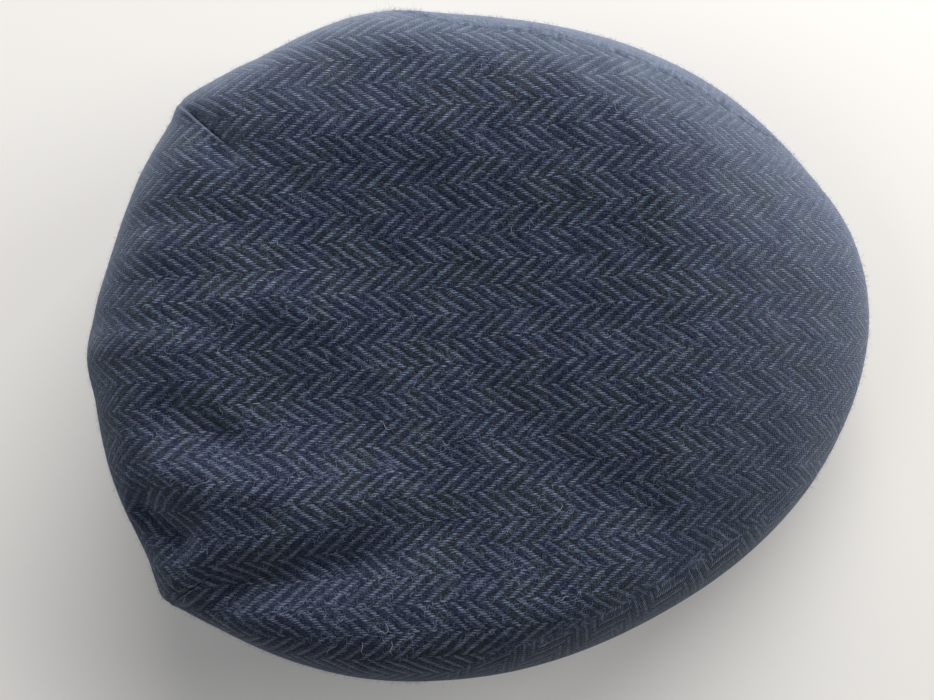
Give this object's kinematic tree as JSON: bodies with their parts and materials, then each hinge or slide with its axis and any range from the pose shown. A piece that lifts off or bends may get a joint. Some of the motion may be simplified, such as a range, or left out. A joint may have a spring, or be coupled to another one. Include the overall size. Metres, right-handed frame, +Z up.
{
  "type": "flat cap",
  "caption": "Soft flat cap of navy herringbone wool with a slumped top, side panels and a short stiff peak, lying with its head opening down.",
  "frame": {"origin": "under the middle of the cap's box, on the surface that the cap lies on", "axes": "+X forward to the peak's front edge, +Y to the wearer's left, +Z up out of the top of the crown"},
  "size_m": [0.2816, 0.2354, 0.068],
  "materials": {
    "crown_cloth": "navy and grey-blue herringbone wool, rows front to back, soft fuzzy surface",
    "side_cloth": "the same herringbone wool cut on the slant, soft fuzzy surface",
    "peak_cloth": "the same herringbone wool drawn tight over a stiff board"
  },
  "bodies": {
    "root": {"top_panel": "crown_cloth", "side_panel_left": "side_cloth", "side_panel_right": "side_cloth", "peak": "peak_cloth"}
  },
  "joints": []
}
